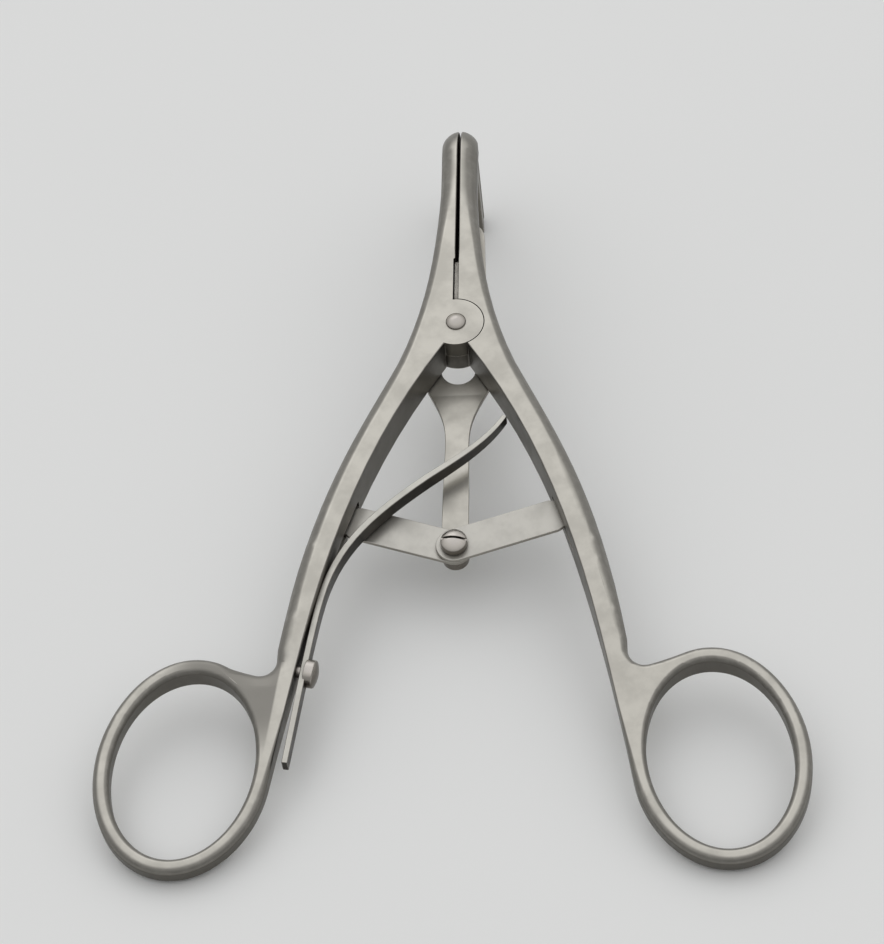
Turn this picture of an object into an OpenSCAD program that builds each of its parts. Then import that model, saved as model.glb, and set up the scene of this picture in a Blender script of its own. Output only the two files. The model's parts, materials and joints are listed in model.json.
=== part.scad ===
// Three-bladed spreading retractor with ring handles.
// Instrument frame: the pivot axis is Z at the origin, +Y runs to the blade tips, +X to the right lever.
// laid_down() then tips the whole instrument so that both rings and the prong ends rest on Z = 0.

/* [Levers] */
// Thickness of each lever from the tips to the middle of the shank
lever_t = 6.4; // [6.2:0.1:7]
// Thickness of the finger rings
ring_t = 3.4; // [3:0.1:4]
// Radius of the joint disc on each lever
disc_r = 4.2; // [4:0.05:4.4]
// Radial gap around the joint disc
disc_gap = 0.16; // [0.1:0.02:0.25]
// Half of the gap between the closed blades
blade_gap = 0.17; // [0.12:0.01:0.25]

/* [Finger rings] */
// Half width of a finger opening
ring_a = 10.2; // [9:0.1:10.5]
// Half length of a finger opening
ring_b = 14.6; // [13:0.1:15]
// Width of the ring's band, seen from above
ring_w = 2.4; // [2.2:0.1:3]
// Lean of each ring away from the instrument's axis, in degrees
ring_lean = 7; // [4:0.5:9]

/* [Prongs] */
// Forward reach of the outer prongs from the pivot
reach = 41.3; // [40:0.1:42]
// Depth of the prong ends below the middle plane
prong_drop = 22; // [18:0.5:24]
// Front-to-back depth of an outer prong
prong_t = 3.3; // [3:0.1:3.5]

/* [Linkage] */
// Distance from the pivot to the centre screw
screw_y = 37.7; // [37:0.1:38.5]
// Distance of each link pin from the instrument's axis
link_pin_x = 17.0; // [16.8:0.1:17.2]
// Distance of each link pin behind the pivot
link_pin_y = 32.2; // [32:0.1:32.5]
// Half width of a link
link_hw = 2.7; // [2.5:0.05:2.8]
// Thickness of the links and of the middle blade's tail
link_t = 0.65; // [0.55:0.05:0.7]
// Radius of a link pin
pin_r = 0.6; // [0.5:0.05:0.65]
// Play around a link pin: the pins are the linkage's open pivots
pin_play = 0.7; // [0.65:0.05:0.75]

/* [Spring] */
// Thickness of the leaf spring
spring_t = 1.0; // [0.8:0.1:1.1]
// Width of the leaf spring
spring_w = 2.6; // [2.2:0.1:2.8]

/* [Hidden] */
$fn = 64;
steps = 14;                    // pieces in each curved stretch of an outline
half_t = lever_t / 2;
big = 200;
// Running clearances
face_gap = 0.03;
bore_play = 0.04;
// Pivot
pivot_r = 1.1;
head_r = 1.5;
head_h = 0.75;
collar_r = 1.9;
collar_h = 0.7;
// Middle blade
plate_z = -half_t - 0.15;      // top of the plate, just under the levers
plate_t = 0.8;
bar_t = 1.5;                   // thickness of its front bar
tail_z = -1.85;                // top of its tail at the centre screw
slot_r = pivot_r + 0.1;
slot_front = 12.6;             // the plate slides this far back along the pivot
keyhole_r = 2.6;
keyhole_y = -4.4;
// Levels of the links: the right link lies on the left one, and both on the tail
left_link_z = tail_z + 0.05;
right_link_z = left_link_z + link_t + 0.05;
// Centre screw
screw_r = 1.0;
screw_head_r = 1.95;
screw_head_h = 1.9;
nut_r = 2.0;
nut_h = 1.9;
tongue_r = pin_r + pin_play + 0.45;
// Leaf spring and its screw
spring_z = -0.9;
spring_screw_r = 0.9;
spring_head_r = 2.05;
spring_head_h = 1.8;
// Where the spring screw enters the left lever's inner wall, and the wall's slope there
spring_screw_at = [-22.1, -59];
wall_slope = 12.5;

// A point on a cubic curve with control points p
function bezier(p, t) = pow(1 - t, 3) * p[0] + 3 * pow(1 - t, 2) * t * p[1]
    + 3 * (1 - t) * t * t * p[2] + pow(t, 3) * p[3];
// Points along a chain of cubic curves: each takes three more points than the last
function curve(p) = [for (k = [0:3:len(p) - 4], i = [(k == 0 ? 0 : 1):steps])
    bezier([p[k], p[k + 1], p[k + 2], p[k + 3]], i / steps)];
// Points on an arc of an ellipse
function arc(c, rx, ry, from, to) = [for (i = [0:steps])
    let (a = from + (to - from) * i / steps) c + [rx * cos(a), ry * sin(a)]];
function reversed(p) = [for (i = [len(p) - 1:-1:0]) p[i]];
function rotated(p, a) = [p[0] * cos(a) - p[1] * sin(a), p[0] * sin(a) + p[1] * cos(a)];

// Outlines of the right lever, from above
ring_at = [37.6, -74.2];
inner_wall = curve([[1.8, -4], [14.5, -23.5], [19.5, -44], [24.6, -72],
                    [25.3, -76], [25.6, -79], ring_oval(ring_w)[62]]);
outer_edge = curve([[2.95, 36.5], [3.2, 20.5], [3.3, 4], [10.3, -9.5],
                    [16.5, -22.5], [21.5, -33], [25, -55.5]]);

// The instrument lies tipped up on the rear edges of its rings and on its prong ends
ring_rear = -min([for (p = ring_oval(ring_w)) p[1]]);
prong_end_back = 2;            // how far the lowest point of a prong lies behind its front face
pitch = atan2(prong_drop - ring_t / 2, reach - prong_end_back + ring_rear);
lift = ring_rear * sin(pitch) + ring_t / 2 * cos(pitch);
// Half the difference between its reach behind and before the pivot brings its middle to Y = 0
prong_nose = [reach - 0.3, -prong_drop + 1.2];
back = (ring_rear * cos(pitch) + ring_t / 2 * sin(pitch)
    - prong_nose[0] * cos(pitch) + prong_nose[1] * sin(pitch)) / 2;

module laid_down() {
    translate([0, back, lift]) rotate([pitch, 0, 0]) children();
}

// A prism of an outline seen from above
module plan(points) {
    translate([0, 0, -big / 2]) linear_extrude(big) polygon(points);
}

// A prism of an outline seen from the side, given as [y, z] points
module side(points) {
    rotate([90, 0, 90]) translate([0, 0, -big / 2]) linear_extrude(big) polygon(points);
}

function ring_oval(grow) = [for (i = [0:4 * steps * 2 - 1])
    let (a = 360 * i / (4 * steps * 2))
    ring_at + rotated([(ring_a + grow) * cos(a), (ring_b + grow) * sin(a)], ring_lean)];

// Blade and shank of the right lever. notch moves the blade's inner edge where the ledge lies.
module shank_plan(notch) {
    plan(concat([[blade_gap, reach]],
        reversed(arc([blade_gap, 36.5], 2.95 - blade_gap, reach - 36.5, 0, 90)),
        outer_edge,
        arc([27.45, -57.3], 2.4, 2.4, 170, 285),
        curve([[28.15, -59.6], [30.0, -59.1], [31.9, -58.4], ring_oval(ring_w)[31]]),
        [[36, -60], [29, -70], [28, -80]],
        reversed(inner_wall),
        [[notch, -3], [notch, 12], [blade_gap + 0.1, 12.2]]));
}

// Thickness of a lever from tip to ring
module lever_side() {
    top = concat([[-100, ring_t / 2], [-68, ring_t / 2], [-60, 2.25], [-52, 2.85], [-44, half_t]],
        reversed(arc([33.5, -4.6], reach - 33.5, half_t + 4.6, 0, 90)),
        [prong_nose, [reach - 1, -prong_drop + 0.2],
         [reach - prong_end_back, -prong_drop], [reach - prong_t + 0.3, -prong_drop + 0.8],
         [reach - prong_t, -prong_drop + 2]],
        arc([34.4, -6.8], reach - prong_t - 34.4, 6.8 - half_t, 0, 90));
    bottom = [[-44, -half_t], [-52, -2.85], [-60, -2.25], [-68, -ring_t / 2], [-100, -ring_t / 2]];
    side(concat(top, bottom));
}

// Slot in a lever's inner wall for a link, open to the rear as the link folds back
module link_slot(low, high) {
    translate([link_pin_x, -link_pin_y, low]) {
        rotate(19) translate([-6, -6.2, 0]) cube([6.4, 9.4, high - low]);
        cylinder(r = tongue_r + pin_play, h = high - low);
    }
}

// A lever with its disc in the lower half (right) or the upper half (left, before mirroring)
module lever(upper, slot_low, slot_high) {
    difference() {
        union() {
            difference() {
                intersection() {
                    union() {
                        shank_plan(upper ? 0.5 : blade_gap + 0.1);
                        plan(ring_oval(ring_w));
                    }
                    lever_side();
                }
                translate([0, 0, upper ? -big : -face_gap / 2]) cylinder(r = disc_r + disc_gap, h = big);
                if (upper) translate([0, 0, face_gap / 2]) mirror([0, 0, 1])
                    cylinder(r = disc_r + disc_gap, h = big);
            }
            translate([0, 0, upper ? face_gap / 2 : -half_t]) cylinder(r = disc_r, h = half_t - face_gap / 2);
        }
        plan(ring_oval(0));
        translate([0, 0, -big / 2]) cylinder(r = pivot_r + bore_play, h = big);
        link_slot(slot_low, slot_high);
        translate([link_pin_x, -link_pin_y, -big / 2]) cylinder(r = pin_r + 0.01, h = big);
    }
}

module left_lever() {
    color("silver") laid_down() difference() {
        mirror([1, 0, 0]) lever(true, left_link_z - 0.15, left_link_z + link_t + 0.65);
        spring_screw_place() translate([0, 0, -3]) cylinder(r = spring_screw_r + 0.01, h = 8);
    }
}

// The right lever also has the ledge that closes the gap between the blades next to the joint
module right_lever() {
    color("silver") laid_down() {
        lever(false, right_link_z - 0.15, right_link_z + link_t + 0.15);
        translate([-0.34, disc_r + 0.3, -half_t]) cube([1.1, 7.3, lever_t - 0.7]);
    }
}

module pivot_screw() {
    color("gainsboro") laid_down() {
        translate([0, 0, plate_z - plate_t - 2]) cylinder(r = pivot_r, h = half_t - plate_z + plate_t + 2);
        intersection() {
            translate([0, 0, half_t + face_gap + head_h - 1.95]) sphere(r = 1.95);
            translate([0, 0, half_t + face_gap]) cylinder(r = head_r, h = 2);
        }
        translate([0, 0, half_t - 0.01]) cylinder(r = pivot_r, h = 0.1);
    }
}

module pivot_collar() {
    color("gray") laid_down() translate([0, 0, plate_z - plate_t - 0.05 - collar_h]) difference() {
        cylinder(r = collar_r, h = collar_h);
        translate([0, 0, -1]) cylinder(r = pivot_r, h = 3);
    }
}

// Half outline of the middle blade, from its tail to its prong
middle_edge = concat(
    arc([0, -screw_y], 2.3, 2.3, 270, 345),
    [[2, -34], [1.95, -27]],
    curve([[1.8, -20], [1.7, -15], [2.1, -13.5], [4.65, -8.2]]),
    [[4.7, -7.2], [3.8, 20.5]],
    arc([2.3, 20.6], 1.5, 2.8, 0, 90),
    [[1.7, 24], [1.7, 32.5], [2.4, 35.5], [2.4, reach - prong_t - 0.2]]);

module middle_blade() {
    front = reach - prong_t - 0.2;
    profile = concat(
        [[-42, tail_z], [-31, tail_z], [-9, plate_z]],
        reversed(arc([34.4, -6.8], front - 34.4, 6.8 + plate_z, 0, 90)),
        [[front - 0.2, -prong_drop + 1.6], [front - 0.9, -prong_drop + 0.5],
         [front - 1.7, -prong_drop + 0.5], [front - 2.3, -prong_drop + 1.6]],
        arc([front - 4.4, -7], 1.9, 7 + plate_z - bar_t, 0, 90),
        [[24.5, plate_z - bar_t], [22.5, plate_z - plate_t], [-9, plate_z - plate_t],
         [-31, tail_z - link_t], [-42, tail_z - link_t]]);
    color("lightgray") laid_down() difference() {
        intersection() {
            plan(concat(middle_edge, reversed([for (p = middle_edge) [-p[0], p[1]]])));
            side(profile);
        }
        translate([0, keyhole_y, -10]) cylinder(r = keyhole_r, h = 10);
        translate([-slot_r, keyhole_y, -10]) cube([2 * slot_r, slot_front - keyhole_y, 10]);
        translate([0, slot_front, -10]) cylinder(r = slot_r, h = 10);
        translate([0, -screw_y, -10]) cylinder(r = screw_r, h = 12);
    }
}

// A link from the centre screw to a link pin, on the right side, its lower face at z = 0
module link() {
    length = norm([link_pin_x, screw_y - link_pin_y]);
    translate([0, -screw_y, 0]) rotate(atan2(screw_y - link_pin_y, link_pin_x)) difference() {
        union() {
            cylinder(r = link_hw, h = link_t);
            linear_extrude(link_t) polygon([[0, -link_hw], [length - 2.6, -link_hw],
                [length, -tongue_r], [length, tongue_r], [length - 2.6, link_hw], [0, link_hw]]);
            translate([length, 0, 0]) cylinder(r = tongue_r, h = link_t);
        }
        translate([0, 0, -1]) cylinder(r = screw_r + bore_play, h = 3);
        translate([length, 0, -1]) cylinder(r = pin_r + pin_play, h = 3);
    }
}

module left_link() {
    color("lightgray") laid_down() mirror([1, 0, 0]) translate([0, 0, left_link_z]) link();
}

module right_link() {
    color("lightgray") laid_down() translate([0, 0, right_link_z]) link();
}

module link_screw() {
    top = right_link_z + link_t + 0.05;
    low = tail_z - link_t - nut_h - 0.4;
    color("gainsboro") laid_down() translate([0, -screw_y, 0]) difference() {
        union() {
            translate([0, 0, low]) cylinder(r = screw_r, h = top - low + 0.5);
            intersection() {
                translate([0, 0, top + screw_head_h - 2.9]) sphere(r = 2.9);
                translate([0, 0, top]) cylinder(r = screw_head_r, h = 3);
            }
        }
        rotate(-5) translate([-3, -0.02, top + screw_head_h - 0.8]) cube([6, 0.34, 3]);
    }
}

module link_nut() {
    color("gray") laid_down() translate([0, -screw_y, tail_z - link_t - 0.05 - nut_h]) difference() {
        intersection() {
            cylinder(r = nut_r, h = nut_h);
            translate([0, 0, 1.15]) sphere(r = 2.35);
        }
        translate([0, 0, -1]) cylinder(r = screw_r, h = 4);
    }
}

module link_pin() {
    translate([link_pin_x, -link_pin_y, -half_t + 0.05]) cylinder(r = pin_r, h = lever_t - 0.1);
}

module left_link_pin() {
    color("gainsboro") laid_down() mirror([1, 0, 0]) link_pin();
}

module right_link_pin() {
    color("gainsboro") laid_down() link_pin();
}

// Centre line of the leaf spring, from its fixed end to its tip on the right lever
spring_line = curve([[-23.2, -74.2], [-22, -66], [-20.7, -56], [-19.45, -49.4],
                     [-17.6, -39.5], [-13.5, -34.5], [-4, -27],
                     [1, -23.3], [4.8, -20.6], [7.35, -16.3]]);
// Unit normal of the spring's line at point i
function spring_normal(i) = let (a = spring_line[max(i - 1, 0)],
    b = spring_line[min(i + 1, len(spring_line) - 1)], d = (b - a) / norm(b - a)) [-d[1], d[0]];

module leaf_spring() {
    count = len(spring_line);
    edge = [for (s = [1, -1]) [for (i = [0:count - 1]) spring_line[i] + s * spring_normal(i) * spring_t / 2]];
    color("darkgray") laid_down() difference() {
        translate([0, 0, spring_z]) linear_extrude(spring_w) polygon(concat(edge[0], reversed(edge[1])));
        spring_screw_place() translate([0, 0, -3]) cylinder(r = spring_screw_r + 0.05, h = 8);
    }
}

// Places a Z-axis piece on the left lever's inner wall, pointing out of it
module spring_screw_place() {
    translate([spring_screw_at[0], spring_screw_at[1], spring_z + spring_w / 2])
        rotate(-wall_slope) rotate([0, 90, 0]) children();
}

module spring_screw() {
    color("gainsboro") laid_down() spring_screw_place() {
        translate([0, 0, -2.6]) cylinder(r = spring_screw_r, h = 4);
        intersection() {
            translate([0, 0, 1.25]) cylinder(r = spring_head_r, h = spring_head_h);
            translate([0, 0, 1.25 + spring_head_h - 4.6]) sphere(r = 4.6);
        }
    }
}

left_lever();
right_lever();
pivot_screw();
pivot_collar();
middle_blade();
left_link();
right_link();
link_screw();
link_nut();
left_link_pin();
right_link_pin();
leaf_spring();
spring_screw();
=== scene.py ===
import json
import math

import bpy
from mathutils import Matrix, Vector


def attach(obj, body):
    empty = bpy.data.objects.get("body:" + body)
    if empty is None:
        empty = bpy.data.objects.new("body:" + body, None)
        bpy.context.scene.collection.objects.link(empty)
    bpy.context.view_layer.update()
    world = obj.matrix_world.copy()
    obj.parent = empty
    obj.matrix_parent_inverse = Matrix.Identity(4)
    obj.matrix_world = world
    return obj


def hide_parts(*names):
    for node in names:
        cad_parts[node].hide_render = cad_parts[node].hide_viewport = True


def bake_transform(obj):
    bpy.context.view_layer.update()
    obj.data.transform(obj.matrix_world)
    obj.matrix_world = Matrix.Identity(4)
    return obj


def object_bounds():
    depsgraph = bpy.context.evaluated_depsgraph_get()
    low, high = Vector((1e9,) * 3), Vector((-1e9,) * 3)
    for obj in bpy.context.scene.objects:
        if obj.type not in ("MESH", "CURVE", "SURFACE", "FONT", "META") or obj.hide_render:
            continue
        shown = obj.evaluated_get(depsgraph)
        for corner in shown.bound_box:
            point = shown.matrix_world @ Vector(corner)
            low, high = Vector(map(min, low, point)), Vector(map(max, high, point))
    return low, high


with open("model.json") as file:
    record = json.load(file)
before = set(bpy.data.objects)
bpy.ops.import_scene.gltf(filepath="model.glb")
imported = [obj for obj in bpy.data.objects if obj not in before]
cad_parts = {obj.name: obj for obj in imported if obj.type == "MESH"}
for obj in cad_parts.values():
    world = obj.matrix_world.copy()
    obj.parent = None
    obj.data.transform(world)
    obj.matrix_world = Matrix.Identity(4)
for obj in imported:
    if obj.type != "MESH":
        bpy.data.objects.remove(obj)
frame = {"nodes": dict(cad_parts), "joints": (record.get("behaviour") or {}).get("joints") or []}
cad_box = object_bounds()

MM = 0.001

# The instrument's own frame: the pivot at the origin, Y to the blade tips, X to the right lever, Z out of the
# flats. Pieces are shaped in it in millimetres, then laid down on the floor in metres.
SQUEEZE = next(joint for joint in frame["joints"] if joint["name"] == "handle_squeeze")
UP = -Vector(SQUEEZE["axis"]).normalized()
ACROSS = Vector((1, 0, 0))
FORWARD = UP.cross(ACROSS)
LAY_DOWN = (Matrix.Translation(SQUEEZE["pos_m"])
            @ Matrix((ACROSS, FORWARD, UP)).transposed().to_4x4()
            @ Matrix.Scale(MM, 4))
STAND_UP = LAY_DOWN.inverted()


def standing_box(cad_node):
    """Lowest and highest corner of a CAD node in the instrument's own frame, in millimetres."""
    points = [STAND_UP @ v.co for v in frame["nodes"][cad_node].data.vertices]
    return (Vector([min(p[i] for p in points) for i in range(3)]),
            Vector([max(p[i] for p in points) for i in range(3)]))


def middle_of(cad_node):
    low, high = standing_box(cad_node)
    return (low + high) / 2


# ---------------------------------------------------------------- working with pieces

# Points nearer than MERGE_DISTANCE are one point. Faces that turn by less than FLAT_TURN are one face,
# and edges that turn by more than SHARP_TURN are rounded
MERGE_DISTANCE = 0.004
FLAT_TURN, SHARP_TURN = math.radians(0.4), math.radians(25)
EDGE_SEGMENTS = 3
FLAT_FACE_WEIGHT = 60


def deselect_all():
    bpy.ops.object.select_all(action="DESELECT")


def only(piece):
    """Makes piece the active object and the only one selected."""
    deselect_all()
    piece.select_set(True)
    bpy.context.view_layer.objects.active = piece


def new_primitive(name):
    """Names the primitive that an operator has just added."""
    piece = bpy.context.object
    piece.name = name
    piece.data.name = name
    return piece


def in_edit_mode(piece, work):
    """Calls work() with piece in edit mode."""
    only(piece)
    bpy.ops.object.mode_set(mode="EDIT")
    work()
    bpy.ops.object.mode_set(mode="OBJECT")


def select(piece, kind, chosen):
    """Selects just the vertices, edges or faces that chosen(item) picks, while in object mode."""
    mesh = piece.data
    for group in (mesh.vertices, mesh.edges, mesh.polygons):
        group.foreach_set("select", [False] * len(group))
    for item in getattr(mesh, kind):
        item.select = bool(chosen(item))


def add_modifier(piece, kind, **values):
    """Adds a modifier with these settings and applies it."""
    only(piece)
    bpy.ops.object.modifier_add(type=kind)
    modifier = piece.modifiers[-1]
    for key, value in values.items():
        setattr(modifier, key, value)
    bpy.ops.object.modifier_apply(modifier=modifier.name)


def cad_copy(cad_node, name):
    """A clean copy of a CAD node's mesh, standing in the instrument's own frame."""
    piece = bpy.data.objects.new(name, frame["nodes"][cad_node].data.copy())
    piece.data.name = name
    bpy.context.scene.collection.objects.link(piece)
    piece.data.transform(STAND_UP)
    piece.data.materials.clear()

    def clean():
        bpy.ops.mesh.select_all(action="SELECT")
        bpy.ops.mesh.customdata_custom_splitnormals_clear()
        bpy.ops.mesh.remove_doubles(threshold=MERGE_DISTANCE)
        bpy.ops.mesh.dissolve_limited(angle_limit=FLAT_TURN)
        bpy.ops.mesh.mark_sharp(clear=True)
    in_edit_mode(piece, clean)
    return piece


def round_edges(piece, radius):
    """Rounds all edges of a piece that turn by more than SHARP_TURN, with a radius in millimetres."""
    mesh = piece.data
    walls_at = {}
    for face in mesh.polygons:
        for key in face.edge_keys:
            walls_at.setdefault(key, []).append(face.normal)
    weights = mesh.attributes.new("bevel_weight_edge", "FLOAT", "EDGE")
    for edge, weight in zip(mesh.edges, weights.data):
        walls = walls_at.get(tuple(sorted(edge.vertices)), [])
        weight.value = float(len(walls) == 2 and walls[0].angle(walls[1]) > SHARP_TURN)
    add_modifier(piece, "BEVEL", limit_method="WEIGHT", width=radius, segments=EDGE_SEGMENTS,
                 use_clamp_overlap=False, miter_outer="MITER_SHARP", loop_slide=True)


def finish_mesh(piece, angle=38):
    """Smooth shading across edges that turn by less than angle degrees, with the flats kept flat. Then the
    piece is laid down in place."""
    only(piece)
    bpy.ops.object.shade_smooth_by_angle(angle=math.radians(angle))
    add_modifier(piece, "WEIGHTED_NORMAL", keep_sharp=True, weight=FLAT_FACE_WEIGHT)
    piece.data.transform(piece.matrix_world)
    piece.matrix_world = Matrix.Identity(4)
    piece.data.transform(LAY_DOWN)


def hand_over(piece, body, node, material):
    """Puts a finished piece in the place of its CAD node and, where one is named, on its body."""
    piece.data.materials.clear()
    piece.data.materials.append(material)
    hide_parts(node)
    if body:
        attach(piece, body)


def smoothstep(low, high, value):
    t = min(max((value - low) / (high - low), 0.0), 1.0)
    return t * t * (3 - 2 * t)


def blend_table(table, value):
    """The amount at a place, from (place, amount) pairs in rising order, easing from one to the next."""
    if value <= table[0][0]:
        return table[0][1]
    for (a, low), (b, high) in zip(table, table[1:]):
        if value <= b:
            return low + (high - low) * smoothstep(a, b, value)
    return table[-1][1]


# ---------------------------------------------------------------- materials

def node(tree, kind, **inputs):
    """Adds a node. Inputs that name a socket are set or linked, the others set the node's own settings."""
    made = tree.nodes.new(kind)
    for key, value in inputs.items():
        if key in made.bl_rna.properties and key not in made.inputs:
            setattr(made, key, value)
            continue
        socket = made.inputs[int(key[1:])] if key[0] == "_" else made.inputs[key.replace("_", " ")]
        if isinstance(value, bpy.types.NodeSocket):
            tree.links.new(value, socket)
        else:
            socket.default_value = value
    return made


def new_group(name, inputs, outputs):
    """A node group with (name, kind, value) inputs and (name, kind) outputs, and the sockets inside it."""
    group = bpy.data.node_groups.new(name, "ShaderNodeTree")
    for socket, kind, value in inputs:
        made = group.interface.new_socket(name=socket, in_out="INPUT", socket_type="NodeSocket" + kind)
        if value is not None:
            made.default_value = value
    for socket, kind in outputs:
        group.interface.new_socket(name=socket, in_out="OUTPUT", socket_type="NodeSocket" + kind)
    given = group.nodes.new("NodeGroupInput").outputs
    return group, given, group.nodes.new("NodeGroupOutput").inputs


def ramp(tree, value, low, high, to_low=0.0, to_high=1.0):
    """Maps value from the range low..high to to_low..to_high, eased and clamped."""
    made = node(tree, "ShaderNodeMapRange", interpolation_type="SMOOTHSTEP", Value=value)
    for name, amount in (("From Min", low), ("From Max", high), ("To Min", to_low), ("To Max", to_high)):
        made.inputs[name].default_value = amount
    return made.outputs["Result"]


def math_node(tree, operation, a, b):
    return node(tree, "ShaderNodeMath", operation=operation, _0=a, _1=b).outputs[0]


def mix_colour(tree, amount, a, b):
    made = tree.nodes.new("ShaderNodeMix")
    made.data_type = "RGBA"
    for socket, value in ((made.inputs[0], amount), (made.inputs[6], a), (made.inputs[7], b)):
        if isinstance(value, bpy.types.NodeSocket):
            tree.links.new(value, socket)
        else:
            socket.default_value = value
    return made.outputs[2]


def brushed_grain_group():
    """Fine satin grain drawn out along one direction, with broader cloudy variation and rare scratches."""
    group, given, out = new_group(
        "brushed_grain",
        [("Vector", "Vector", None), ("Length", "Float", 12.0), ("Fineness", "Float", 2600.0)],
        [("Height", "Float"), ("Cloud", "Float"), ("Scratch", "Float")])
    stretch = node(group, "ShaderNodeCombineXYZ", X=1.0, Y=given["Length"], Z=1.0).outputs[0]
    drawn = node(group, "ShaderNodeVectorMath", operation="DIVIDE", _0=given["Vector"], _1=stretch).outputs[0]
    grain = node(group, "ShaderNodeTexNoise", Vector=drawn, Scale=given["Fineness"], Detail=3.0,
                 Roughness=0.6).outputs["Fac"]
    speck = node(group, "ShaderNodeTexNoise", Vector=given["Vector"], Scale=5200.0, Detail=2.0).outputs["Fac"]
    cloud = node(group, "ShaderNodeTexNoise", Vector=given["Vector"], Scale=210.0, Detail=4.0,
                 Roughness=0.62).outputs["Fac"]
    scratch = node(group, "ShaderNodeTexNoise", Vector=drawn, Scale=760.0, Detail=1.0,
                   Distortion=0.4).outputs["Fac"]
    height = math_node(group, "ADD", grain, math_node(group, "MULTIPLY", speck, 0.35))
    group.links.new(height, out["Height"])
    group.links.new(cloud, out["Cloud"])
    group.links.new(ramp(group, scratch, 0.68, 0.74), out["Scratch"])
    return group


def edge_wear_group():
    """Where edges have been handled bright, broken up by a noise."""
    group, given, out = new_group(
        "edge_wear",
        [("Vector", "Vector", None), ("Radius", "Float", 0.25 * MM)], [("Mask", "Float")])
    softened = node(group, "ShaderNodeBevel", samples=4, Radius=given["Radius"]).outputs[0]
    facing = node(group, "ShaderNodeVectorMath", operation="DOT_PRODUCT", _0=softened,
                  _1=node(group, "ShaderNodeNewGeometry").outputs["Normal"]).outputs["Value"]
    noise = node(group, "ShaderNodeTexNoise", Vector=given["Vector"], Scale=900.0, Detail=3.0).outputs["Fac"]
    edge = ramp(group, facing, 0.985, 0.93)
    worn = math_node(group, "MULTIPLY", edge, ramp(group, noise, 0.3, 0.6, 0.45, 1.0))
    group.links.new(worn, out["Mask"])
    return group


def tarnish_and_shade_group():
    """Brown tarnish and painted shade in gaps, and painted shade by how far a face leans from the ground
    flats: darker rounds, then darkest walls.
    """
    group, given, out = new_group(
        "tarnish",
        [("Vector", "Vector", None), ("Reach", "Float", 1.2 * MM)],
        [("Gaps", "Float"), ("Rounds", "Float"), ("Walls", "Float")])
    # Ambient occlusion darkens the gaps: brown tarnish, and painted shade where shade falls in hollows
    open_sky = node(group, "ShaderNodeAmbientOcclusion", samples=6, Distance=given["Reach"]).outputs["AO"]
    noise = node(group, "ShaderNodeTexNoise", Vector=given["Vector"], Scale=650.0, Detail=5.0,
                 Roughness=0.65).outputs["Fac"]
    # Painted shade: faces that lean away from the flats take darker colours
    rise = node(group, "ShaderNodeVectorMath", operation="DOT_PRODUCT",
                _0=node(group, "ShaderNodeTexCoord").outputs["Normal"], _1=tuple(UP)).outputs["Value"]
    level = math_node(group, "ABSOLUTE", rise, 0.0)
    for name, mask, patches in (
            ("Gaps", ramp(group, open_sky, 0.78, 0.3), ramp(group, noise, 0.32, 0.62, 0.6, 1.0)),
            ("Rounds", ramp(group, level, 0.985, 0.86), ramp(group, noise, 0.3, 0.6, 0.85, 1.0)),
            ("Walls", ramp(group, level, 0.68, 0.2), ramp(group, noise, 0.3, 0.6, 0.95, 1.0))):
        group.links.new(math_node(group, "MULTIPLY", mask, patches), out[name])
    return group


# The web of the left lever that is painted in the darker colour of the rounds: a point on its straight edge,
# the way outwards from it, and its middle
WEB_EDGE = LAY_DOWN @ Vector((-22.6, -48, 0))
WEB_OUTWARD = (LAY_DOWN.to_3x3() @ Vector((-31, 4.3, 0))).normalized()
WEB_MIDDLE = LAY_DOWN @ Vector((-28.5, -60, 3))
WEB_EDGE_BLUR, WEB_FULL, WEB_FADED = 0.35 * MM, 7 * MM, 15 * MM

GRAIN = brushed_grain_group()
WEAR = edge_wear_group()
TARNISH_AND_SHADE = tarnish_and_shade_group()
# Colour of the gaps: brown tarnish, and painted shade in the hollows
GAP_TARNISH_AND_SHADE_COLOUR = (0.045, 0.034, 0.027, 1)
CLOUD_SHADE = 0.86
WORN_GAIN, WORN_LIMIT = 1.25, 0.95


def darkened_web_mask(tree, where):
    """The web beside the left finger ring, outwards of the ground flat's edge, which is painted in the darker
    colour of the rounds.
    """
    from_edge = node(tree, "ShaderNodeVectorMath", operation="SUBTRACT", _0=where,
                     _1=tuple(WEB_EDGE)).outputs[0]
    outward = node(tree, "ShaderNodeVectorMath", operation="DOT_PRODUCT", _0=from_edge,
                   _1=tuple(WEB_OUTWARD)).outputs["Value"]
    away = node(tree, "ShaderNodeVectorMath", operation="DISTANCE", _0=where,
                _1=tuple(WEB_MIDDLE)).outputs["Value"]
    return math_node(tree, "MULTIPLY", ramp(tree, outward, 0.0, WEB_EDGE_BLUR),
                     ramp(tree, away, WEB_FADED, WEB_FULL))


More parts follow.
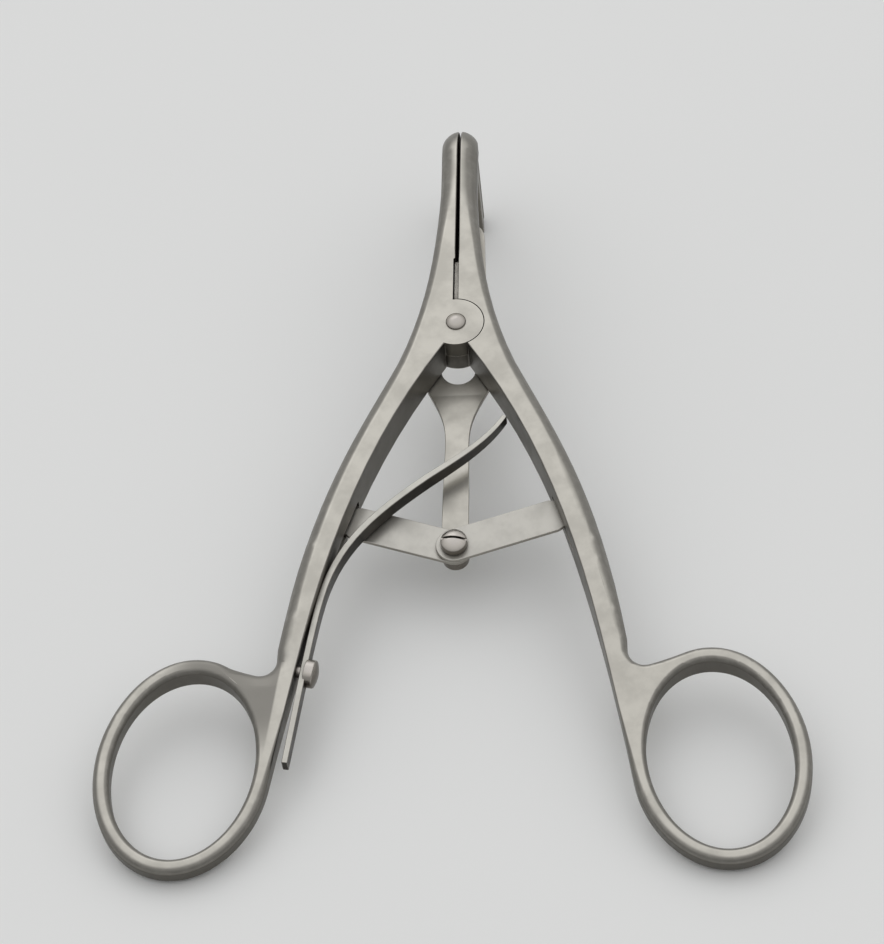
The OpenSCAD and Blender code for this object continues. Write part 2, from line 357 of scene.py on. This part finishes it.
def steel(name, colour, painted_round_shade, painted_wall_shade, roughness, lean=0.0, grain_length=12.0, bump=0.10, wear=0.4, reach=1.2,
          web=False):
    """A stainless steel: its colour on the flats, with painted shade darker on the rounds and darkest on
    upright walls. lean turns the grain in degrees from the instrument's long axis, wear is how bright handled
    edges get, reach is how far gap tarnish and painted shade creep out of a gap, in millimetres, and web
    paints the web beside the left ring in the rounds' colour."""
    material = bpy.data.materials.new(name)
    material.use_nodes = True
    tree = material.node_tree
    shader = tree.nodes["Principled BSDF"]
    where = node(tree, "ShaderNodeTexCoord").outputs["Object"]
    turned = node(tree, "ShaderNodeMapping", Vector=where)
    turned.inputs["Rotation"].default_value = (0.0, 0.0, math.radians(lean))
    grain = node(tree, "ShaderNodeGroup", node_tree=GRAIN)
    tree.links.new(turned.outputs[0], grain.inputs["Vector"])
    grain.inputs["Length"].default_value = grain_length
    edge = node(tree, "ShaderNodeGroup", node_tree=WEAR)
    tree.links.new(where, edge.inputs["Vector"])
    tarnish_and_shade = node(tree, "ShaderNodeGroup", node_tree=TARNISH_AND_SHADE)
    tree.links.new(where, tarnish_and_shade.inputs["Vector"])
    tarnish_and_shade.inputs["Reach"].default_value = reach * MM

    clouded = mix_colour(tree, ramp(tree, grain.outputs["Cloud"], 0.35, 0.68), colour + (1,),
                         tuple(c * CLOUD_SHADE for c in colour) + (1,))
    # Painted shade: rounds take a darker colour, then upright walls a darker one still
    round_shade_mask = tarnish_and_shade.outputs["Rounds"]
    if web:
        round_shade_mask = math_node(tree, "MAXIMUM", round_shade_mask, darkened_web_mask(tree, where))
    rounded = mix_colour(tree, round_shade_mask, clouded, painted_round_shade + (1,))
    walled = mix_colour(tree, tarnish_and_shade.outputs["Walls"], rounded, painted_wall_shade + (1,))
    # Gaps take brown tarnish and painted shade
    gapped = mix_colour(tree, tarnish_and_shade.outputs["Gaps"], walled, GAP_TARNISH_AND_SHADE_COLOUR)
    worn = mix_colour(tree, math_node(tree, "MULTIPLY", edge.outputs["Mask"], wear), gapped,
                      tuple(min(c * WORN_GAIN, WORN_LIMIT) for c in colour) + (1,))
    tree.links.new(worn, shader.inputs["Base Color"])

    clouds = ramp(tree, grain.outputs["Cloud"], 0.3, 0.7, roughness - 0.04, roughness + 0.06)
    rough = math_node(tree, "ADD", clouds, math_node(tree, "MULTIPLY", tarnish_and_shade.outputs["Gaps"], 0.25))
    rough = math_node(tree, "SUBTRACT", rough, math_node(tree, "MULTIPLY", edge.outputs["Mask"], 0.08))
    rough = math_node(tree, "SUBTRACT", rough, math_node(tree, "MULTIPLY", grain.outputs["Scratch"], 0.03))
    tree.links.new(rough, shader.inputs["Roughness"])
    tree.links.new(ramp(tree, tarnish_and_shade.outputs["Gaps"], 0.3, 1.0, 1.0, 0.75), shader.inputs["Metallic"])

    bumped = node(tree, "ShaderNodeBump", Strength=bump, Distance=0.02 * MM, Height=grain.outputs["Height"])
    tree.links.new(bumped.outputs[0], shader.inputs["Normal"])
    return material


# The second and third colours of each steel are painted shade: darker on rounds, darkest on upright walls
FLAT, ROUND_SHADE, WALL_SHADE = (0.57, 0.55, 0.50), (0.26, 0.25, 0.228), (0.14, 0.132, 0.116)
SATIN_LEFT = steel("satin_steel_left", FLAT, ROUND_SHADE, WALL_SHADE, 0.38, lean=17, web=True)
SATIN_RIGHT = steel("satin_steel_right", FLAT, ROUND_SHADE, WALL_SHADE, 0.38, lean=-17)
BRIGHT = steel("bright_steel", (0.56, 0.54, 0.49), (0.40, 0.38, 0.34), (0.18, 0.168, 0.145), 0.36, reach=1.0)
LINKS = steel("link_steel", (0.55, 0.535, 0.495), (0.56, 0.545, 0.505), (0.34, 0.32, 0.285), 0.34, lean=80,
              bump=0.02, wear=0.15, reach=0.8)
SPRING = steel("spring_steel", (0.58, 0.565, 0.52), (0.27, 0.256, 0.23), (0.035, 0.031, 0.026), 0.33, lean=25)
FASTENER = steel("fastener_steel", (0.60, 0.565, 0.53), (0.50, 0.47, 0.43), (0.16, 0.145, 0.125), 0.28,
                 grain_length=1.5, reach=0.7)
# The pivot collar's near-black colours are painted shade, for the shadow under the joint
COLLAR_SHADE_STEEL = steel("blackened_steel", (0.20, 0.185, 0.165), (0.10, 0.09, 0.08), (0.04, 0.035, 0.03), 0.36,
                  reach=2.0)

# ---------------------------------------------------------------- levers

# Finger ring: middle, half width and half length of its opening, width of its band, lean in degrees, and the
# points of its outer oval at which the web and the shank's inner wall run into it
RING_AT = Vector((37.6, -74.2))
RING_A, RING_B, RING_W = 10.2, 14.6, 2.4
RING_LEAN = 7
RING_STEPS = 112
RING_AT_WEB, RING_AT_WALL = 31, 62

# Half thickness of blade and shank, and of the ring, and the stretch along Y where one turns into the other
HALF_T, RING_HALF_T = 3.2, 1.7
TAPER_FROM, TAPER_TO = -44, -68
CROSS_CUTS = range(-72, -36, 2)

# Half of the gap between the closed blades, the blade's face at LEDGE_FRONT, in front of the ledge, and how
# much the face comes in for each millimetre further forward
BLADE_GAP = 0.17
BLADE_FACE = BLADE_GAP + 0.1
BLADE_RELIEF, LEDGE_FRONT = 0.0034, 12.2
# The ledge that closes the gap between the blades next to the joint
LEDGE = (-0.34, 4.5, -HALF_T), (0.76, 11.8, HALF_T - 0.7)

# Lap joint: radius of the discs and the gaps around and between them, and the pivot's bore
DISC_R, DISC_GAP, FACE_GAP = 4.2, 0.16, 0.03
BORE_R = 1.14
THROUGH = 10

# Slot for a link in a lever's inner wall: corners from the link pin, turn in degrees, and its round inner end
SLOT_LOW, SLOT_HIGH, SLOT_TURN = (-6, -6.4), (0.5, 3.3), 19
SLOT_R = 2.55

# Hollow round between the shank's outer side and the web
FILLET_AT, FILLET_R = Vector((27.45, -57.3)), 2.4

CURVE_STEPS = 14
CORNER_STEPS = 6
LEVER_SMOOTH = 24
SMALL_ROUND = 0.2
NOTCH_ROUND = 0.1
# Radius of the rounded outer side of each lever, by how far forward it is, and of the inner wall's edges
OUTER_ROUND = {
    1: [(-60, 1.1), (-52, 1.5), (-42, 1.9), (-12, 1.9), (2, 1.35), (14, 1.4), (30, 2.3)],
    -1: [(-60, 3.0), (-54, 2.3), (-42, 2.1), (-12, 2.0), (2, 1.35), (14, 1.4), (30, 2.3)]}
INNER_ROUND = [(-84, 1.2), (-66, SMALL_ROUND)]
RING_OUTER_ROUND, RING_INNER_ROUND = 1.05, 0.85
# Corners are a little flatter than a quarter circle, so that a ground flat ends in a crisp line, and none
# takes more than CORNER_SHARE of a wall's half height
CORNER_FULLNESS, CORNER_DROP, CORNER_SHARE = 0.72, 0.95, 0.72

# The prong's sweep, from where it takes over from the blade: the outer and the inner bend, each as centre and
# radius, and the oval end
BEND_START = 30.0
OUTER_BEND, OUTER_BEND_R = Vector((33.5, -4.6)), 7.8
INNER_BEND, INNER_BEND_R = Vector((34.4, -6.8)), 3.6
PRONG_END, PRONG_END_RY, PRONG_END_RZ = Vector((39.65, -20.5)), 1.65, 1.5
LEAD_STEPS, BEND_STEPS, STRAIGHT_STEPS, END_STEPS = 3, 16, 6, 7
END_TURN = 84
# The blades narrow to a rounded nose over this stretch
NOSE_START, NOSE_LENGTH, NOSE_LIMIT = 36.3, 5.3, 0.97


def curve(controls):
    """Points along a chain of cubic curves: each takes three more control points than the last."""
    points = [Vector(controls[0])]
    for k in range(0, len(controls) - 3, 3):
        a, b, c, d = (Vector(p) for p in controls[k:k + 4])
        for i in range(1, CURVE_STEPS + 1):
            t = i / CURVE_STEPS
            points.append((1 - t) ** 3 * a + 3 * (1 - t) ** 2 * t * b + 3 * (1 - t) * t * t * c + t ** 3 * d)
    return points


def ring_point(i, grow):
    """Point i of the right ring's oval, grow millimetres out from its opening."""
    turn = math.radians(360 * i / RING_STEPS)
    flat = Vector(((RING_A + grow) * math.cos(turn), (RING_B + grow) * math.sin(turn)))
    return RING_AT + Matrix.Rotation(math.radians(RING_LEAN), 2) @ flat


def half_thickness(y):
    return RING_HALF_T + (HALF_T - RING_HALF_T) * smoothstep(TAPER_TO, TAPER_FROM, y)


def lever_outline(side, notch):
    """The right lever's outline from the outer side of the blade, round the ring and up the inner wall to the
    blade again, as (point, radius of its edges). side is 1 for the right lever, -1 for the left, and notch is
    where the blade's face stands next to the joint."""
    rounds = OUTER_ROUND[side]
    web_round = rounds[0][1]
    outer = [p for p in curve([(2.55, 36.5), (2.85, 20.5), (3.3, 4), (10.3, -9.5),
                               (16.5, -22.5), (21.5, -33), (25, -55.5)]) if p.y < BEND_START - 0.5]
    start = Vector((outer[0].x - 0.02, BEND_START))
    fillet = [FILLET_AT + FILLET_R * Vector((math.cos(math.radians(a)), math.sin(math.radians(a))))
              for a in range(178, 284, 8)]
    web = curve([(28.15, -59.6), (30.0, -59.1), (31.9, -58.4), ring_point(RING_AT_WEB, RING_W)])
    inner = curve([(1.8, -4), (14.5, -23.5), (19.5, -44), (24.6, -72),
                   (25.3, -76), (25.6, -79), ring_point(RING_AT_WALL, RING_W)])

    chain = [(p, blend_table(rounds, p.y)) for p in [start] + outer + fillet]
    chain += [(p, web_round + (RING_OUTER_ROUND - web_round) * smoothstep(0, 1, n / (len(web) - 1)))
              for n, p in enumerate(web)]
    chain += [(ring_point(i, RING_W), RING_OUTER_ROUND)
              for i in range(RING_AT_WEB - 1, RING_AT_WALL - RING_STEPS, -1)]
    chain += [(p, blend_table(INNER_ROUND, p.y)) for p in reversed(inner)]
    chain += [(Vector(p), NOTCH_ROUND)
              for p in ((notch, -3), (notch, 4), (notch, 12), (BLADE_FACE, LEDGE_FRONT))]
    chain += [(Vector((BLADE_FACE - BLADE_RELIEF * (y - LEDGE_FRONT), y)), SMALL_ROUND)
              for y in (*range(14, 30, 2), BEND_START)]
    return chain


def corner_profile(radius, half):
    """(inset, height) pairs up a wall from its bottom edge to its top edge, with both edges rounded."""
    drop = min(radius * CORNER_DROP, CORNER_SHARE * half)
    top = []
    for i in range(CORNER_STEPS + 1):
        turn = math.radians(90 * i / CORNER_STEPS)
        straight = i / CORNER_STEPS
        inset = CORNER_FULLNESS * (1 - math.cos(turn)) + (1 - CORNER_FULLNESS) * straight
        rise = CORNER_FULLNESS * math.sin(turn) + (1 - CORNER_FULLNESS) * straight
        top.append((radius * inset, half - drop + drop * rise))
    return [(inset, -z) for inset, z in reversed(top)] + top


def wall_columns(chain, closed):
    """One column of points up the wall at each point of an outline that runs clockwise round the material.
    The two ends of an open outline are the open end of the blade, whose walls look straight out and in."""
    columns = []
    count = len(chain)
    for i, (point, radius) in enumerate(chain):
        if closed or 0 < i < count - 1:
            along = (chain[(i + 1) % count][0] - chain[i - 1][0]).normalized()
            outward = Vector((-along.y, along.x))
        else:
            outward = Vector((1 if i == 0 else -1, 0))
        column = []
        for inset, z in corner_profile(radius, half_thickness(point.y)):
            at = point - outward * inset
            column.append((at.x, at.y, z * half_thickness(at.y) / half_thickness(point.y)))
        columns.append(column)
    return columns


def lever_blank(name, side, notch):
    """Blade, shank and ring of a lever as one rounded forging, open at the front end of the blade."""
    outline = wall_columns(lever_outline(side, notch), closed=False)
    opening = wall_columns([(ring_point(i, 0), RING_INNER_ROUND) for i in range(RING_STEPS)], closed=True)
    height = len(outline[0])
    points, quads = [], []
    for columns, closed in ((outline, False), (opening, True)):
        first = len(points)
        points += [(side * x, y, z) for column in columns for x, y, z in column]
        for i in range(len(columns) - (0 if closed else 1)):
            a, b = first + i * height, first + (i + 1) % len(columns) * height
            quads += [(a + k, b + k, b + k + 1, a + k + 1) for k in range(height - 1)]
    deselect_all()
    bpy.ops.mesh.primitive_plane_add(size=1)
    blank = new_primitive(name)
    mesh = blank.data
    mesh.clear_geometry()
    mesh.from_pydata(points, [], quads)
    fill_flats(blank, height, len(outline), len(outline) + len(opening))

    # Until hand_over clears them, two material slots tell the walls from the flats
    for face in list(mesh.polygons)[len(quads):]:
        face.material_index = 1
    mesh.materials.append(SATIN_LEFT)
    mesh.materials.append(SATIN_RIGHT)
    cut_across(blank)
    on_walls = {v for face in mesh.polygons if face.material_index == 0 for v in face.vertices}
    for v in mesh.vertices:
        if v.index not in on_walls:
            v.co.z = math.copysign(half_thickness(v.co.y), v.co.z)
    return blank


def fill_flats(blank, height, outline_count, column_count):
    """Closes the lower and the upper face, between the ends of all columns of points."""
    for level in (0, height - 1):
        rim = {i * height + level for i in range(column_count)}
        ends = {level, (outline_count - 1) * height + level}
        select(blank, "vertices", lambda v: v.index in ends)
        in_edit_mode(blank, bpy.ops.mesh.edge_face_add)
        select(blank, "edges", lambda e: all(v in rim for v in e.vertices))
        for v in rim:
            blank.data.vertices[v].select = True
        in_edit_mode(blank, lambda: bpy.ops.mesh.fill(use_beauty=True))


def cut_across(blank):
    """Cuts the shank and its flats into short strips, which can then follow the taper."""
    def cuts():
        for y in CROSS_CUTS:
            bpy.ops.mesh.select_all(action="SELECT")
            bpy.ops.mesh.bisect(plane_co=(0, y, 0), plane_no=(0, 1, 0))
    in_edit_mode(blank, cuts)


def prong_path():
    """Outer and inner point of each step of the prong, as (y, z), from the blade to the prong's end."""
    steps = []
    for i in range(1, LEAD_STEPS + 1):
        t = i / LEAD_STEPS
        steps.append((Vector((BEND_START + t * (OUTER_BEND.x - BEND_START), HALF_T)),
                      Vector((BEND_START + t * (INNER_BEND.x - BEND_START), -HALF_T))))
    for i in range(1, BEND_STEPS + 1):
        turn = math.radians(90 - 90 * i / BEND_STEPS)
        way = Vector((math.cos(turn), math.sin(turn)))
        steps.append((OUTER_BEND + OUTER_BEND_R * way, INNER_BEND + INNER_BEND_R * way))
    outer, inner = steps[-1]
    for i in range(1, STRAIGHT_STEPS + 1):
        t = i / STRAIGHT_STEPS
        steps.append((outer.lerp(Vector((outer.x, PRONG_END.y)), t),
                      inner.lerp(Vector((inner.x, PRONG_END.y)), t)))
    for i in range(1, END_STEPS + 1):
        turn = math.radians(END_TURN * i / END_STEPS)
        reach, drop = PRONG_END_RY * math.cos(turn), PRONG_END_RZ * math.sin(turn)
        steps.append((PRONG_END + Vector((reach, -drop)), PRONG_END + Vector((-reach, -drop))))
    return steps


def sweep_prong(lever, side):
    """Draws the open end of a blade on round the bend and down to the prong's rounded end."""
    mesh = lever.data
    rim = {v.index for v in mesh.vertices if v.co.y > BEND_START - 0.01}
    gap = min(abs(mesh.vertices[v].co.x) for v in rim)
    # Each point of the open end: how far it is from the gap, and how high it is, from 0 to 1
    places = {v: (abs(mesh.vertices[v].co.x) - gap, (mesh.vertices[v].co.z / HALF_T + 1) / 2) for v in rim}
    for outer, inner in prong_path():
        select(lever, "edges", lambda e: all(v in places for v in e.vertices))
        for v in places:
            mesh.vertices[v].select = True
        in_edit_mode(lever, bpy.ops.mesh.extrude_edges_move)
        old = {place_key(mesh.vertices[v].co): place for v, place in places.items()}
        places = {v.index: old[place_key(v.co)] for v in mesh.vertices if v.select and v.index not in places}
        for v, (width, lift) in places.items():
            y, z = inner.lerp(outer, lift)
            nose = min(max((y - NOSE_START) / NOSE_LENGTH, 0.0), NOSE_LIMIT)
            mesh.vertices[v].co = (side * (gap + width * math.sqrt(1 - nose * nose)), y, z)

    def close():
        bpy.ops.mesh.edge_face_add()
        bpy.ops.mesh.select_all(action="SELECT")
        bpy.ops.mesh.remove_doubles(threshold=0.001)
        bpy.ops.mesh.normals_make_consistent(inside=False)
    in_edit_mode(lever, close)


def place_key(point):
    """Points at the same place give the same key."""
    return tuple(round(c, 5) for c in point)


def cylinder(radius, low, high, at=(0, 0)):
    """An upright cylinder between two heights."""
    deselect_all()
    bpy.ops.mesh.primitive_cylinder_add(vertices=96, radius=radius, depth=high - low,
                                        location=(*at, (low + high) / 2))
    return bpy.context.object


def block(low, high, turn=0.0, at=(0, 0, 0)):
    """A box between two corners, then turned about Z by turn degrees and moved."""
    low, high = Vector(low), Vector(high)
    deselect_all()
    bpy.ops.mesh.primitive_cube_add(size=1)
    box = bpy.context.object
    box.data.transform(Matrix.Translation(at) @ Matrix.Rotation(math.radians(turn), 4, "Z")
                       @ Matrix.Translation((low + high) / 2) @ Matrix.Diagonal((*(high - low), 1)))
    return box


def combine(piece, tool, operation):
    """Cuts or joins piece with a tool, which is used up."""
    add_modifier(piece, "BOOLEAN", object=tool, operation=operation, solver="EXACT")
    bpy.data.objects.remove(tool)


def make_lever(cad_node, name, side, body, material, notch, pin_node, slot_low, slot_high):
    """A whole lever. The left one has the upper half of the lap joint, the right one the lower half. slot_low
    and slot_high are the floor and the roof of its link slot."""
    lever = lever_blank(name, side, notch)
    sweep_prong(lever, side)
    if side < 0:
        combine(lever, cylinder(DISC_R + DISC_GAP, -THROUGH, FACE_GAP / 2), "DIFFERENCE")
        combine(lever, cylinder(DISC_R, FACE_GAP / 2, HALF_T), "UNION")
    else:
        combine(lever, cylinder(DISC_R + DISC_GAP, -FACE_GAP / 2, THROUGH), "DIFFERENCE")
        combine(lever, cylinder(DISC_R, -HALF_T, -FACE_GAP / 2), "UNION")
        combine(lever, block(*LEDGE), "UNION")
    combine(lever, cylinder(BORE_R, -THROUGH, THROUGH), "DIFFERENCE")
    pin = middle_of(pin_node)
    left, right = sorted((side * SLOT_LOW[0], side * SLOT_HIGH[0]))
    slot_box = block((left, SLOT_LOW[1], slot_low), (right, SLOT_HIGH[1], slot_high), SLOT_TURN * side,
                     (pin.x, pin.y, 0))
    combine(lever, slot_box, "DIFFERENCE")
    combine(lever, cylinder(SLOT_R, slot_low, slot_high, (pin.x, pin.y)), "DIFFERENCE")
    finish_mesh(lever, LEVER_SMOOTH)
    hand_over(lever, body, cad_node, material)


make_lever("left_lever", "left_lever_forged", -1, "left_handle", SATIN_LEFT, notch=0.5,
           pin_node="left_link_pin", slot_low=-1.95, slot_high=-0.5)
make_lever("right_lever", "right_lever_forged", 1, "right_handle", SATIN_RIGHT, notch=BLADE_FACE,
           pin_node="right_link_pin", slot_low=-1.25, slot_high=-0.3)

# ---------------------------------------------------------------- blade, links and fasteners

def make_rounded(cad_node, name, body, material, radius):
    """A copy of a CAD node with its edges rounded."""
    piece = cad_copy(cad_node, name)
    round_edges(piece, radius)
    finish_mesh(piece)
    hand_over(piece, body, cad_node, material)


make_rounded("middle_blade", "middle_blade_ground", "middle", BRIGHT, 0.12)
make_rounded("left_link", "left_link_plate", "left_arm", LINKS, 0.11)
make_rounded("right_link", "right_link_plate", "right_arm", LINKS, 0.11)
make_rounded("link_screw", "link_screw_slotted", "middle", FASTENER, 0.1)
make_rounded("link_nut", "link_nut_round", "middle", FASTENER, 0.12)
make_rounded("pivot_screw", "pivot_screw_domed", "pivot", FASTENER, 0.12)
make_rounded("pivot_collar", "pivot_collar_turned", "pivot", COLLAR_SHADE_STEEL, 0.15)
make_rounded("spring_screw", "spring_screw_domed", "left_handle", FASTENER, 0.15)

# The pins are peened until no seam shows, so they are a little stouter and end just under the lever's faces
PIN_PEENED = (1.022, 1.022, 0.96)


def make_pin(cad_node, name, body, material):
    """A link pin, hidden in its lever apart from the stretch that crosses the link slot."""
    pin = cad_copy(cad_node, name)
    middle = middle_of(cad_node)

    def peen():
        bpy.ops.mesh.select_all(action="SELECT")
        bpy.ops.transform.resize(value=PIN_PEENED, center_override=middle)
    in_edit_mode(pin, peen)
    finish_mesh(pin)
    hand_over(pin, body, cad_node, material)


make_pin("left_link_pin", "left_link_pin_peened", "left_handle", SATIN_LEFT)
make_pin("right_link_pin", "right_link_pin_peened", "right_handle", SATIN_RIGHT)

# ---------------------------------------------------------------- leaf spring

# Centre line of the spring, from its rear end to its tip: each point with the handles of its curve
SPRING_LINE = [
    ((-23.2, -74.2), None, (-22, -66)),
    ((-19.45, -49.4), (-20.7, -56), (-17.6, -39.5)),
    ((-4, -27), (-13.5, -34.5), (1, -23.3)),
    ((7.35, -16.3), (4.8, -20.6), None)]
SPRING_T, SPRING_CORNER = 1.0, 0.16
# How much of its full section the strip has at its rear end and at its tip
SPRING_REAR, SPRING_TIP = 0.85, 0.72


def make_spring():
    """A strip with rounded edges along the centre line, as wide as its CAD node."""
    low, high = standing_box("leaf_spring")
    level, width = (low.z + high.z) / 2, high.z - low.z

    deselect_all()
    bpy.ops.mesh.primitive_plane_add(size=1)
    section = new_primitive("spring_section")
    section.scale = (SPRING_T, width, 1)
    only(section)
    bpy.ops.object.transform_apply(location=False, rotation=False, scale=True)

    def round_corners():
        bpy.ops.mesh.select_all(action="SELECT")
        bpy.ops.mesh.bevel(offset=SPRING_CORNER, offset_pct=0, segments=3, affect="VERTICES")
        bpy.ops.mesh.delete(type="ONLY_FACE")
    in_edit_mode(section, round_corners)
    only(section)
    bpy.ops.object.convert(target="CURVE")

    deselect_all()
    bpy.ops.curve.primitive_bezier_curve_add()
    line = bpy.context.object
    line.data.dimensions = "3D"
    line.data.twist_mode = "Z_UP"
    line.data.resolution_u = 14
    spline = line.data.splines[0]
    spline.bezier_points.add(len(SPRING_LINE) - len(spline.bezier_points))
    for point, (at, before, after) in zip(spline.bezier_points, SPRING_LINE):
        point.handle_left_type = point.handle_right_type = "FREE"
        point.co = (*at, level)
        point.handle_left = (*(before or at), level)
        point.handle_right = (*(after or at), level)
        point.radius = 1.0
    spline.bezier_points[0].radius = SPRING_REAR
    spline.bezier_points[-1].radius = SPRING_TIP
    line.data.bevel_mode = "OBJECT"
    line.data.bevel_object = section
    line.data.use_fill_caps = True
    only(line)
    bpy.ops.object.convert(target="MESH")
    spring = new_primitive("leaf_spring_blade")
    bpy.data.objects.remove(section)

    def tidy():
        bpy.ops.mesh.select_all(action="SELECT")
        bpy.ops.mesh.remove_doubles(threshold=MERGE_DISTANCE)
        bpy.ops.mesh.normals_make_consistent(inside=False)
    in_edit_mode(spring, tidy)
    return spring


spring = make_spring()
finish_mesh(spring)
hand_over(spring, None, "leaf_spring", SPRING)
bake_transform(spring)

# ---------------------------------------------------------------- floor, light and camera

FLOOR_SIZE, FLOOR_DROP = 6, 0.02 * MM
deselect_all()
bpy.ops.mesh.primitive_plane_add(size=FLOOR_SIZE, location=(0, 0, cad_box[0][2] - FLOOR_DROP))
floor = new_primitive("pale_floor")
floor_material = bpy.data.materials.new("pale_floor")
floor_material.use_nodes = True
paint = floor_material.node_tree
on_floor = node(paint, "ShaderNodeTexCoord").outputs["Object"]
mottled = node(paint, "ShaderNodeTexNoise", Vector=on_floor, Scale=9.0, Detail=2.0).outputs["Fac"]
shade = mix_colour(paint, mottled, (0.80, 0.805, 0.80, 1), (0.83, 0.835, 0.83, 1))
paint.links.new(shade, paint.nodes["Principled BSDF"].inputs["Base Color"])
paint.nodes["Principled BSDF"].inputs["Roughness"].default_value = 0.55
floor.data.materials.append(floor_material)

# The studio: a sky that brightens from the horizon to overhead and a little behind the blades
world = bpy.data.worlds.new("studio")
bpy.context.scene.world = world
world.use_nodes = True
sky = world.node_tree
heading = node(sky, "ShaderNodeTexCoord").outputs["Generated"]
parts = node(sky, "ShaderNodeSeparateXYZ", Vector=heading).outputs
toward_back = math_node(sky, "ADD", parts["Z"], math_node(sky, "MULTIPLY", parts["Y"], 0.25))
glow = mix_colour(sky, ramp(sky, toward_back, 0.05, 0.75), (0.27, 0.27, 0.266, 1), (0.86, 0.86, 0.86, 1))
sky.links.new(glow, sky.nodes["Background"].inputs["Color"])
sky.nodes["Background"].inputs["Strength"].default_value = 1.07


def softbox(name, place, size, power):
    """A rectangular light that faces the instrument."""
    lamp = bpy.data.lights.new(name, "AREA")
    lamp.shape = "RECTANGLE"
    lamp.size, lamp.size_y = size
    lamp.energy = power
    box = bpy.data.objects.new(name, lamp)
    bpy.context.scene.collection.objects.link(box)
    box.location = place
    box.rotation_euler = (-Vector(place)).to_track_quat("-Z", "Y").to_euler()


softbox("back_softbox", (-0.40, 0.95, 1.0), (1.2, 0.8), 1.0)
bpy.context.scene.view_settings.view_transform = "Standard"

# The camera looks down on the instrument from behind its handles, a little to the right of its axis. The
# point it aims at and its distance are in the instrument's own frame, in millimetres
ELEVATION, AZIMUTH, ROLL = math.radians(56.1), math.radians(7.4), math.radians(7.8)
DISTANCE = 474.2
AIM = Vector((-1.95, -25.2, 0.0))
camera_data = bpy.data.cameras.new("camera")
camera_data.sensor_width = 36
camera_data.lens = 122
camera = bpy.data.objects.new("camera", camera_data)
bpy.context.scene.collection.objects.link(camera)
behind = Vector((math.cos(ELEVATION) * math.sin(AZIMUTH), -math.cos(ELEVATION) * math.cos(AZIMUTH),
                 math.sin(ELEVATION)))
level_right = Vector((math.cos(AZIMUTH), math.sin(AZIMUTH), 0))
level_up = behind.cross(level_right)
right = math.cos(ROLL) * level_right - math.sin(ROLL) * level_up
axes = Matrix((right, behind.cross(right), behind)).transposed().to_4x4()
turn = LAY_DOWN.to_3x3().normalized().to_4x4() @ axes
camera.matrix_world = Matrix.Translation(LAY_DOWN @ (AIM + DISTANCE * behind)) @ turn
bpy.context.scene.camera = camera
